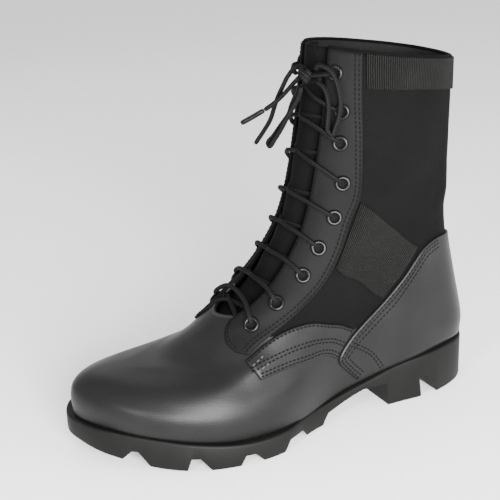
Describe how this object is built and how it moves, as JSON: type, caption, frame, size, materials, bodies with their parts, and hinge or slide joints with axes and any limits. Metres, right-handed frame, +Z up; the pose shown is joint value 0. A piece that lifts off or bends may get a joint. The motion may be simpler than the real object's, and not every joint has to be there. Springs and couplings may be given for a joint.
{
  "type": "jungle boot",
  "caption": "High laced boot for the left foot, with a plain leather toe, canvas shaft, webbing ankle strap, laced throat and a lugged rubber sole with a separate heel.",
  "frame": {"origin": "on the floor, under the flat tread of the heel's rear block, on the sole's long axis", "axes": "+X towards the toe, +Y towards the outer (lateral) side, +Z up"},
  "size_m": [0.308, 0.1137, 0.2623],
  "materials": {
    "rubber": "satin black moulded rubber",
    "leather": "smooth black leather, slightly glossy",
    "canvas": "matt black nylon canvas",
    "webbing": "ribbed black nylon webbing",
    "insole_board": "dark cloth-covered insole",
    "black_metal": "black enamelled metal",
    "lace": "braided black lace"
  },
  "bodies": {
    "root": {"outsole": "rubber", "insole": "insole_board", "upper": "leather", "tongue": "canvas", "eyestay_lateral": "leather", "ankle_strap_lateral": "webbing", "side_panel_lateral": "leather", "eyestay_medial": "leather", "ankle_strap_medial": "webbing", "side_panel_medial": "leather", "heel_counter": "leather", "collar_band": "webbing", "backstay": "canvas", "eyelet_lateral_1": "black_metal", "eyelet_lateral_2": "black_metal", "eyelet_lateral_3": "black_metal", "eyelet_lateral_4": "black_metal", "eyelet_lateral_5": "black_metal", "eyelet_lateral_6": "black_metal", "eyelet_lateral_7": "black_metal", "eyelet_lateral_8": "black_metal", "eyelet_lateral_9": "black_metal", "eyelet_medial_1": "black_metal", "eyelet_medial_2": "black_metal", "eyelet_medial_3": "black_metal", "eyelet_medial_4": "black_metal", "eyelet_medial_5": "black_metal", "eyelet_medial_6": "black_metal", "eyelet_medial_7": "black_metal", "eyelet_medial_8": "black_metal", "eyelet_medial_9": "black_metal", "lace_bar": "lace", "lace_crossing_1": "lace", "lace_crossing_2": "lace", "lace_crossing_3": "lace", "lace_crossing_4": "lace", "lace_crossing_5": "lace", "lace_crossing_6": "lace", "lace_crossing_7": "lace", "lace_crossing_8": "lace", "lace_knot": "lace", "lace_loop_long": "lace", "lace_loop_short": "lace", "lace_end_left": "lace", "lace_end_right": "lace", "lace_aglet": "black_metal"}
  },
  "joints": []
}
